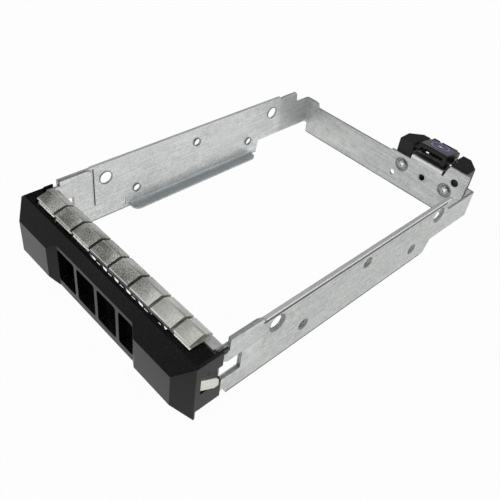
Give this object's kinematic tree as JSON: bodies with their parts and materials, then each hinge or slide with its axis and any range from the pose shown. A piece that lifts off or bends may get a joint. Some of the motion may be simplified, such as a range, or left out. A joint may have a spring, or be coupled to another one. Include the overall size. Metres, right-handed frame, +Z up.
{
  "type": "hot swap drive caddy",
  "caption": "Hot swap hard drive caddy: a folded sheet frame with side screw holes, a vented bezel with contact fingers and a sprung release lever at the rear.",
  "frame": {"origin": "middle of the underside of the whole caddy, at the level of the bezel's lowest edge", "axes": "+X to the right rail, +Y from the bezel to the latch, +Z up, away from the surface it lies on"},
  "size_m": [0.1112, 0.188, 0.0313],
  "materials": {
    "galvanised_sheet": "galvanised, fine grain, satin",
    "spring_sheet": "plated, sandblast grain",
    "side_leaf": "pale plated spring sheet",
    "rivet_metal": "zinc plated",
    "plated_screw": "zinc plated",
    "pin_metal": "bright drawn",
    "bezel_plastic": "moulded, fine spark texture",
    "latch_plastic": "moulded, fine spark texture",
    "ring_ink": "printed ring and dot"
  },
  "bodies": {
    "frame": {"left_rail": "galvanised_sheet", "crossbar": "galvanised_sheet", "right_rail": "galvanised_sheet", "front_plate": "galvanised_sheet", "bezel": "bezel_plastic", "bezel_screws": "plated_screw", "emi_finger_strip": "spring_sheet", "left_side_spring": "side_leaf", "right_side_spring": "side_leaf", "latch_housing": "latch_plastic", "latch_rivets": "rivet_metal", "clinch_nut": "rivet_metal", "lever_pin": "pin_metal", "lever_spring": "pin_metal"},
    "lever": {"release_lever": "latch_plastic", "lever_ring_mark": "ring_ink"}
  },
  "joints": [
    {"name": "lever_hinge", "type": "hinge", "parent": "frame", "child": "lever", "pos_m": [0.02675, 0.0893, 0.0249], "axis": [-1, 0, 0], "range_deg": [0, 35], "stiffness_Nm_per_rad": 0.002, "springref_deg": -20.05, "deforming": ["lever_spring"]}
  ]
}
